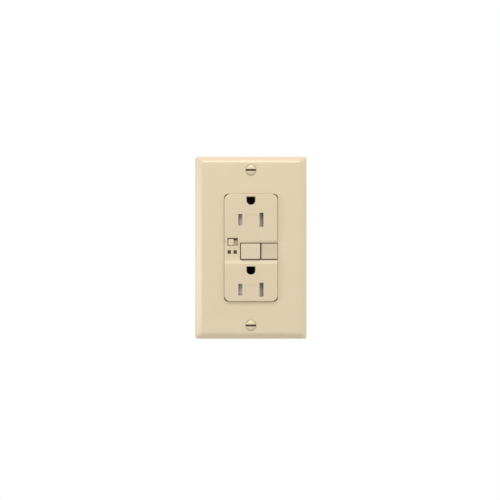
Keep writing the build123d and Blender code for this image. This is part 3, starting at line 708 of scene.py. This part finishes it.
plate = {
    "halfWide": 34.925, "halfTall": 57.15, "corner": 1.5,
    "windowHalfWide": 16.7, "windowHalfTall": 33.5, "windowCorner": 2.4,
    "front": 5.6, "rim": 2.4, "sideBevel": 4.4, "endBevel": 3.4, "under": 3.2,
    # the hollow back: width of the foot on the wall, reach of the slope inside it, its corner radius
    "footWide": 1.8, "hollowInset": 5.0, "hollowCorner": 0.8,
    # the collar round the window: half width, half height and corner radius outside and inside
    "collarOutside": (20.2, 36.4, 3.0), "collarInside": (18.8, 34.9, 2.6), "collarLow": 1.6,
    # how far each corner of the section is cut back
    "cuts": [0.1, 0.3, 1.6, 0.6, 0.2, 0.15, 0.2, 0.3, 0.15, 0.15, 0.3],
    "screwZ": 48.42, "holeRadius": 1.95, "sinkRadius": 3.5, "sinkDepth": 1.8, "sharpOver": 30,
}


def buildPlate():
    p = plate
    outerX, outerZ = p["halfWide"], p["halfTall"]
    innerX, innerZ = outerX - p["sideBevel"], outerZ - p["endBevel"]
    windowX, windowZ = p["windowHalfWide"], p["windowHalfTall"]
    # section of the plate: half width, half height, corner radius, height out of the wall
    section = [
        (windowX, windowZ, p["windowCorner"], p["under"]),
        (windowX, windowZ, p["windowCorner"], p["front"]),
        (innerX, innerZ, p["corner"], p["front"]),
        (outerX, outerZ, p["corner"], p["rim"]),
        (outerX, outerZ, p["corner"], 0.0),
        (outerX - p["footWide"], outerZ - p["footWide"], p["hollowCorner"], 0.0),
        (outerX - p["hollowInset"], outerZ - p["hollowInset"], p["hollowCorner"], p["under"]),
        (*p["collarOutside"], p["under"]),
        (*p["collarOutside"], p["collarLow"]),
        (*p["collarInside"], p["collarLow"]),
        (*p["collarInside"], p["under"]),
    ]
    rows = softenLine(section, p["cuts"], 9, 0.04)
    x, z = roundedLoops(rows[:, 0], rows[:, 1], rows[:, 2], 9, 15)
    y = np.repeat(-rows[:, 3:4], x.shape[1], 1)
    corners, faces = ringsToMesh(np.stack([x, y, z], -1) * mm, True)
    piece = placeMesh("wall_plate_piece", corners, faces, "wall_plate", p["sharpOver"])
    # the two countersunk screw holes; the tool runs a little past the front
    past = 0.2
    for screwZ in (p["screwZ"], -p["screwZ"]):
        radii = [p["holeRadius"], p["holeRadius"], p["sinkRadius"], p["sinkRadius"] + past]
        along = [1.0, p["front"] - p["sinkDepth"], p["front"], p["front"] + past]
        rings = turnedRings(np.array(radii) * mm, np.array(along) * mm, (0, 0, screwZ * mm), (0, -1, 0), 64)
        carve(piece, outwardMesh("cutter", *ringsToMesh(rings)))
    settle(piece, "wall_plate", p["sharpOver"])
    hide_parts("wall_plate")
    print("wall plate ready")


# screws

def screwRings(head, threadStart, threadEnd, radius, pitch, depth, centre, axis, segments, tip=0.35):
    # the head's softened profile, then the thread, then a short tapered tip; distances run along the axis
    along, radii = threadRings(threadStart, threadEnd, radius, pitch, depth, segments)
    headRows = np.repeat(head[:, :1], segments, 1)
    step = 1 if threadEnd > threadStart else -1
    tipStart = threadEnd + step * 0.05
    tipRows = np.repeat(np.array([[radius - depth], [radius - depth - tip]]), segments, 1)
    allRadii = np.concatenate([headRows, radii, tipRows])
    allAlong = np.concatenate([head[:, 1], along, [tipStart, tipStart + step * tip]])
    return turnedRings(allRadii * mm, allAlong * mm, centre, axis, segments)


ovalScrew = {
    "headRadius": 3.35, "rim": 5.62, "rimThick": 0.12, "dome": 1.0, "domePower": 2.7, "domeRows": 14,
    "coneFoot": 4.12, "radius": 1.75, "neckEnd": 3.2, "threadStart": 3.0, "end": -7.1,
    "pitch": 0.794, "threadDepth": 0.38, "slotWide": 1.25, "slotFloor": 5.3, "slotLong": 9.0, "sharpOver": 34,
}


def buildOvalScrews():
    s = ovalScrew
    for node in ("plate_screw_upper", "plate_screw_lower"):
        low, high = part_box(node)
        centre = np.array([0, 0, (low[2] + high[2]) / 2])
        # shallow dome: height falls slowly at first, and steeply near the rim
        share = np.linspace(0.04, 1, s["domeRows"])
        domeAlong = s["rim"] + s["dome"] * (1 - share ** s["domePower"])
        domeRows = np.stack([s["headRadius"] * share * 0.985, domeAlong], -1)
        rimFoot = s["rim"] - s["rimThick"]
        coneRows = np.array([
            (s["headRadius"], s["rim"] - s["rimThick"] / 2), (s["headRadius"], rimFoot),
            (s["headRadius"] - 0.08, rimFoot - 0.09), (s["radius"] + 0.06, s["coneFoot"] + 0.05),
            (s["radius"], s["coneFoot"]), (s["radius"], s["neckEnd"]),
        ])
        rings = screwRings(np.concatenate([domeRows, coneRows]), s["threadStart"], s["end"], s["radius"],
                           s["pitch"], s["threadDepth"], centre, (0, -1, 0), 64)
        corners, faces = ringsToMesh(rings)
        piece = placeMesh(node + "_piece", corners, faces, node, s["sharpOver"])
        top = s["rim"] + s["dome"] + 0.5
        slotCentre = centre + np.array([0, -(top + s["slotFloor"]) / 2, 0]) * mm
        cutAway(piece, slotCentre, np.array([s["slotLong"], top - s["slotFloor"], s["slotWide"]]) * mm)
        settle(piece, node, s["sharpOver"])
        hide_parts(node)
    print("plate screws ready")


bindingScrew = {
    "headRadius": 3.45, "headIn": 15.70, "headOut": 17.68, "radius": 1.96, "end": 12.0,
    "tip": 0.2, "headCuts": [0.05, 0.35, 0.3, 0.05], "pitch": 0.794, "threadDepth": 0.36, "y": 8.0, "z": 20.0,
    "slotWide": 1.1, "slotDepth": 0.95, "slotLong": 9.0, "crossLong": 4.4, "sharpOver": 36,
}


def buildTerminalScrews():
    s = bindingScrew
    # the cutters stand this far past the head
    past = 1.0
    for node, side, end in (("hot_load_screw", -1, 1), ("neutral_load_screw", 1, 1),
                            ("hot_line_screw", -1, -1), ("neutral_line_screw", 1, -1)):
        centre = np.array([0, s["y"], end * s["z"]]) * mm
        head = headProfile(s["headRadius"], s["headOut"], s["headIn"], s["radius"], s["headCuts"], 0.25)
        rings = screwRings(head, s["headIn"] - 0.5, s["end"], s["radius"], s["pitch"], s["threadDepth"],
                           centre, (side, 0, 0), 48, s["tip"])
        corners, faces = ringsToMesh(rings)
        piece = placeMesh(node + "_piece", corners, faces, node, s["sharpOver"])
        slotX = side * (s["headOut"] + (past - s["slotDepth"]) / 2)
        slotCentre = np.array([slotX, s["y"], end * s["z"]]) * mm
        cutAway(piece, slotCentre, np.array([s["slotDepth"] + past, s["slotLong"], s["slotWide"]]) * mm)
        cutAway(piece, slotCentre, np.array([s["slotDepth"] + past, s["slotWide"], s["crossLong"]]) * mm)
        settle(piece, node, s["sharpOver"])
        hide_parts(node)
    print("terminal screws ready")


boxScrew = {
    "head": 3.3, "top": 3.0, "seat": 1.42, "neck": 1.45, "radius": 1.75, "neckEnd": -1.0, "end": -23.4,
    "z": 41.67, "headCuts": [0.05, 0.4, 0.2, 0.05], "pitch": 0.794, "threadDepth": 0.38,
    "slotAt": 2.9, "slot": (9.0, 1.5, 1.1), "sharpOver": 36,
}


def buildBoxScrews():
    s = boxScrew
    head = headProfile(s["head"], s["top"], s["seat"], s["neck"], s["headCuts"], 0.25)
    head = np.concatenate([head, [(s["neck"], s["neckEnd"] + 0.1), (s["neck"], s["neckEnd"])]])
    made = []
    for end in (1, -1):
        centre = (0, 0, end * s["z"] * mm)
        rings = screwRings(head, s["neckEnd"] - 0.05, s["end"], s["radius"], s["pitch"], s["threadDepth"],
                           centre, (0, -1, 0), 40)
        made.append(ringsToMesh(rings))
    corners, faces = joinMeshes(made)
    piece = placeMesh("box_mounting_screws_piece", corners, faces, "box_mounting_screws", s["sharpOver"])
    for end in (1, -1):
        cutAway(piece, np.array([0, -s["slotAt"], end * s["z"]]) * mm, np.array(s["slot"]) * mm)
    settle(piece, "box_mounting_screws", s["sharpOver"])
    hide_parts("box_mounting_screws")


groundScrew = {
    "x": 13.5, "y": 5.4, "head": 3.7, "far": -41.38, "seat": -39.27, "end": -35.3, "radius": 1.96,
    "neck": 1.9, "pitch": 0.794, "threadDepth": 0.36, "faceShare": 0.86, "segments": 48,
    "slot": (1.2, 9.0, 2.0), "slotPast": 0.2, "sharpOver": 30,
}


def buildGroundScrew():
    # hexagon head with a slot: the rim follows a six-sided outline, the face a chamfered circle
    s = groundScrew
    turn = np.linspace(0, 2 * np.pi, s["segments"], endpoint=False)
    hexagon = np.cos(np.pi / 6) / np.cos((turn % (np.pi / 3)) - np.pi / 6) * s["head"] * 0.995
    disc = np.full_like(turn, s["head"] * s["faceShare"])
    rim = np.minimum(hexagon, s["head"])
    rows = np.stack([disc * 0.1, disc * 0.9, disc, rim, hexagon, hexagon, disc])
    drops = np.array([0, 0, 0.06, 0.42, 0.5])
    headAlong = np.concatenate([s["far"] + drops, [s["seat"] - 0.1, s["seat"], s["seat"] + 0.02]])
    along, radii = threadRings(s["seat"] + 0.3, s["end"], s["radius"], s["pitch"], s["threadDepth"],
                               s["segments"])
    neck = np.full((1, s["segments"]), s["neck"])
    allRadii = np.concatenate([rows, neck, radii, neck * 0.7])
    allAlong = np.concatenate([headAlong, along, [s["end"] + 0.3]])
    centre = np.array([s["x"], s["y"], 0]) * mm
    rings = turnedRings(allRadii * mm, allAlong * mm, centre, (0, 0, 1), s["segments"])
    corners, faces = ringsToMesh(rings)
    piece = placeMesh("ground_screw_piece", corners, faces, "ground_screw", s["sharpOver"])
    slotPlace = np.array([s["x"], s["y"], s["far"] - s["slotPast"]]) * mm
    cutAway(piece, slotPlace, np.array(s["slot"]) * mm)
    settle(piece, "ground_screw", s["sharpOver"])
    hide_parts("ground_screw")


caseScrew = {
    "x": 12.7, "z": 29.6, "head": 2.2, "back": -26.75, "seat": -25.42, "radius": 1.18,
    "headCuts": [0.05, 0.45, 0.1, 0.05], "threadStart": -25.0, "end": 3.4, "pitch": 0.9, "threadDepth": 0.22,
    "crossAt": 26.65, "cross": ((3.0, 1.3, 0.8), (0.8, 1.3, 3.0)), "sharpOver": 36,
}


def buildCaseScrews():
    s = caseScrew
    head = headProfile(s["head"], s["back"], s["seat"], s["radius"], s["headCuts"], 0.2)
    places = [np.array([x * s["x"], 0, z * s["z"]]) * mm for x in (1, -1) for z in (1, -1)]
    made = []
    for place in places:
        rings = screwRings(head, s["threadStart"], s["end"], s["radius"], s["pitch"], s["threadDepth"],
                           place, (0, -1, 0), 24)
        made.append(ringsToMesh(rings))
    corners, faces = joinMeshes(made)
    piece = placeMesh("housing_screws_piece", corners, faces, "housing_screws", s["sharpOver"])
    for place in places:
        for size in s["cross"]:
            cutAway(piece, place + np.array([0, s["crossAt"], 0]) * mm, np.array(size) * mm)
    settle(piece, "housing_screws", s["sharpOver"])
    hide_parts("housing_screws")


def buildFixedScrews():
    buildBoxScrews()
    buildGroundScrew()
    buildCaseScrews()
    print("fixed screws ready")


# springs

springSharp = 60
springs = {
    "reset_spring": {
        "radius": 2.38, "wire": 0.26, "turns": 8.5, "axis": (0, -1, 0), "far": "reset_key",
    },
    "plunger_spring": {
        "radius": 2.68, "wire": 0.11, "turns": 4.5, "axis": (0, 0, 1), "far": "solenoid_plunger",
    },
    "shutter_spring_upper": {"radius": 0.84, "wire": 0.09, "turns": 4.0, "end": "upper"},
    "shutter_spring_lower": {"radius": 0.84, "wire": 0.09, "turns": 4.0, "end": "lower"},
}


def buildSprings():
    for node, s in springs.items():
        low, high = (np.array(c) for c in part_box(node))
        middle = (low + high) / 2
        radius, wireRadius = s["radius"] * mm, s["wire"] * mm
        if "far" in s:
            # one end stands on the fixed parts and the other moves with its key or plunger
            axis = np.array(s["axis"], float)
            half = abs(((high - low) / 2) @ axis)
            corners, faces = springMesh(-half, half, middle, axis, radius, wireRadius, s["turns"])
            piece = placeMesh(node + "_piece", corners, faces, node, springSharp, False)
            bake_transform(piece)
            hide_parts(node)
            continue
        # the middle of a shutter spring stays put, and each half closes up with its own shutter
        reach = (high[0] - low[0]) / 2
        for wire, side in (("hot", -1), ("neutral", 1)):
            axis = np.array([side, 0, 0], float)
            corners, faces = springMesh(0, reach, middle, axis, radius, wireRadius, s["turns"])
            piece = placeMesh(node + "_" + wire + "_half", corners, faces, node, springSharp, False)
            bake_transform(piece)
            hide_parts(node)
    print("springs ready")


# solenoid, reset pin and sensing rings

coil = {
    "y": 17.6, "frontZ": 9.0, "backZ": 23.0, "radius": 4.27, "bore": 2.62, "wireStep": 0.35, "wireRise": 0.14,
    "rowsPerTurn": 8, "inset": 0.02,
}


def buildCoil():
    # winding: barrel radius with one round ridge for each turn of wire
    c = coil
    turns = int((c["backZ"] - c["frontZ"]) / c["wireStep"])
    rows = turns * c["rowsPerTurn"] + 1
    along = np.linspace(c["frontZ"] + c["inset"], c["backZ"] - c["inset"], rows)
    outer = c["radius"] - c["wireRise"] * (1 - np.abs(np.sin(np.pi * np.linspace(0, turns, rows))))
    radii = np.concatenate([outer, [c["bore"], c["bore"]]])
    allAlong = np.concatenate([along, [along[-1], along[0]]])
    rings = turnedRings(radii * mm, allAlong * mm, (0, c["y"] * mm, 0), (0, 0, 1), 56)
    corners, faces = ringsToMesh(rings, True)
    piece = placeMesh("coil_winding_piece", corners, faces, "coil_winding", 60)
    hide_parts("coil_winding")


# turned pins: radius against distance along the axis, and how far each corner is cut back
turnedPins = {
    "plunger": {
        "outline": [(0.3, 5.2), (1.87, 5.2), (1.87, 26.6), (2.88, 26.6), (2.88, 27.38), (0.3, 27.38)],
        "cuts": [0.05, 0.3, 0.1, 0.15, 0.2, 0.05], "hold": 0.03, "cap": 0.2,
        "centre": (0, 17.6, 0), "axis": (0, 0, 1), "segments": 48,
    },
    "reset_pin": {
        "outline": [(0.2, 5.15), (1.18, 5.15), (1.18, -8.9), (0.8, -8.9), (0.8, -12.5), (1.18, -12.5),
                    (1.18, -13.6), (0.6, -14.75), (0.2, -14.75)],
        "cuts": [0.04, 0.2, 0.12, 0.06, 0.06, 0.05, 0.2, 0.15, 0.04], "hold": 0.02, "cap": 0.15,
        "centre": (-0.2, 0, -2.25), "axis": (0, -1, 0), "segments": 40,
    },
}


def buildPins():
    for node, p in turnedPins.items():
        rows = softenedProfile(p["outline"], p["cuts"], p["cap"], p["hold"]) * mm
        rings = turnedRings(rows[:, 0], rows[:, 1], np.array(p["centre"]) * mm, p["axis"], p["segments"])
        corners, faces = ringsToMesh(rings)
        piece = placeMesh(node + "_piece", corners, faces, node, 40)
        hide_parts(node)


sensing = {
    "outer": 7.85, "inner": 4.85, "corner": 0.6, "turns": 78, "rowsPerTurn": 8, "ripple": 0.06,
}


def buildRings():
    # a rounded section carried round a circle, rippled by the turns wound on it
    s = sensing
    turn = np.linspace(0, 2 * np.pi, s["turns"] * s["rowsPerTurn"], endpoint=False)
    ripple = s["ripple"] * mm * (np.abs(np.sin(turn * s["turns"] / 2)) - 1)
    halfWide = (s["outer"] - s["inner"]) / 2 * mm
    mid = (s["outer"] + s["inner"]) / 2 * mm
    for node in ("sense_ring", "neutral_ring"):
        low, high = (np.array(v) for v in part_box(node))
        middle = (low + high) / 2
        halfTall = (high[1] - low[1]) / 2
        across, up = roundedLoops([halfWide], [halfTall], [s["corner"] * mm], 5, 2)
        scale = 1 + ripple[:, None] / halfTall
        radius = mid + across * scale
        x = middle[0] + radius * np.cos(turn)[:, None]
        z = middle[2] + radius * np.sin(turn)[:, None]
        y = middle[1] + up * scale
        corners, faces = ringsToMesh(np.stack([x, y, z], -1), True)
        piece = placeMesh(node + "_piece", corners, faces, node, 60)
        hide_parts(node)


def buildCore():
    buildCoil()
    buildPins()
    buildRings()
    print("solenoid and rings ready")


# small parts on the board

boardTop = 22.4

resistors = {
    "long": 5.1, "radius": 0.88, "lift": 0.9, "waist": 0.84, "swellAt": 0.74, "swellWide": 0.16,
    "shoulder": 0.86, "segments": 24, "sharpOver": 50,
    # each row: how many, first centre, step to the next, axis, what is taken off the length
    "rows": [
        (4, (7.6, -7.0), (2.6, 0.0), (0, 0, 1), 0.0),
        (2, (-12.1, 8.4), (0.0, 2.4), (1, 0, 0), 0.2),
    ],
}


def dumbbell(length):
    # resistor body: two swollen ends and a slimmer middle, closed to small flats
    r = resistors
    t = np.linspace(-1, 1, 33)
    rise = np.exp(-((np.abs(t) - r["swellAt"]) / r["swellWide"]) ** 2)
    swell = r["radius"] * (r["waist"] + (1 - r["waist"]) * rise)
    close = 1 - np.clip((np.abs(t) - r["shoulder"]) / (1 - r["shoulder"]), 0, 1) ** 2
    return swell * np.sqrt(np.clip(close, 0.02, 1)), t * length / 2


def buildResistors():
    r = resistors
    made = []
    for count, first, step, axis, shorter in r["rows"]:
        radii, along = dumbbell(r["long"] - shorter)
        for place in range(count):
            x, z = np.array(first) + place * np.array(step)
            centre = np.array([x, boardTop - r["lift"], z]) * mm
            made.append(ringsToMesh(turnedRings(radii * mm, along * mm, centre, axis, r["segments"])))
    corners, faces = joinMeshes(made)
    piece = placeMesh("resistors_and_diodes_piece", corners, faces, "resistors_and_diodes", r["sharpOver"])
    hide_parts("resistors_and_diodes")


varistor = {"centre": (-11.2, 18.6, 3.2), "radius": 3.68, "thick": 2.7, "roundness": 3.2}


def buildVaristor():
    # dipped disc: thick in the middle, thin and round at the rim
    v = varistor
    t = np.linspace(-1, 1, 31)
    radii = v["radius"] * np.sqrt(np.clip(1 - np.abs(t) ** v["roundness"], 0.003, 1))
    centre = np.array(v["centre"]) * mm
    corners, faces = ringsToMesh(turnedRings(radii * mm, t * v["thick"] / 2 * mm, centre, (1, 0, 0), 56))
    piece = placeMesh("varistor_piece", corners, faces, "varistor", 60)
    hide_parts("varistor")


capacitors = {
    # cans: x, z, radius, height out of the wall
    "cans": [(12.6, 6.6, 2.48, -15.02), (12.6, 0.6, 1.98, -16.62)],
    # the groove near the can's foot: its two edges and its middle above the board, and its depth
    "groove": (1.3, 1.8, 1.55), "grooveDepth": 0.28,
    "canCuts": [0.04, 0.3, 0.12, 0.14, 0.12, 0.3, 0.04, 0.04, 0.04],
    # boxed film parts: x, z, width, length, height out of the wall
    "boxes": [(-12.0, -4.2, 5.0, 2.4, -18.6), (8.4, 11.0, 2.2, 4.2, -18.9)],
    "boxCuts": [0.01, 0.03, 0.03, 0.01], "boxCorner": 0.35, "boxInset": 0.02,
    "standOff": 0.02, "sharpOver": 40,
}


def canMesh(x, z, radius, height):
    # the crown stands a little above the rolled rim
    c = capacitors
    foot = c["standOff"] - boardTop
    low, high, middle = (edge - boardTop for edge in c["groove"])
    crown = height - 0.15
    waist = radius - c["grooveDepth"]
    outline = [(0.3, foot), (radius, foot), (radius, low), (waist, middle), (radius, high),
               (radius, height), (radius - 0.5, height), (radius - 0.6, crown), (0.3, crown)]
    rows = softenedProfile(outline, c["canCuts"], 0.2, 0.02) * mm
    return ringsToMesh(turnedRings(rows[:, 0], rows[:, 1], (x * mm, 0, z * mm), (0, -1, 0), 48))


def boxedMesh(x, z, wide, tall, height):
    # half sizes grow from a small end cap to the full section and shrink again
    c = capacitors
    steps = 4
    perCorner = steps + 2
    foot = c["standOff"] - boardTop
    outline = [(0.1, foot), (1.0, foot), (1.0, height), (0.1, height)]
    rows = softenLine(outline, c["boxCuts"], steps, 0.02)[perCorner:-perCorner]
    share = np.clip(rows[:, 0], 0.1, 1)
    halfWide = wide / 2 * share - c["boxInset"]
    halfTall = tall / 2 * share - c["boxInset"]
    across, up = roundedLoops(halfWide, halfTall, np.minimum(halfWide, halfTall) * c["boxCorner"], 6, 3)
    out = np.repeat(-rows[:, 1:2], across.shape[1], 1)
    return ringsToMesh(np.stack([across + x, out, up + z], -1) * mm)


def buildCapacitors():
    c = capacitors
    made = [canMesh(*can) for can in c["cans"]] + [boxedMesh(*box) for box in c["boxes"]]
    corners, faces = joinMeshes(made)
    piece = placeMesh("capacitors_piece", corners, faces, "capacitors", c["sharpOver"])
    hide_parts("capacitors")


def buildBoardParts():
    buildResistors()
    buildVaristor()
    buildCapacitors()
    print("board parts ready")


# the whole object

buildStudio()
finishes = buildFinishes()
buildEdgedPieces()
buildPlate()
buildOvalScrews()
buildTerminalScrews()
buildFixedScrews()
buildSprings()
buildCore()
buildBoardParts()
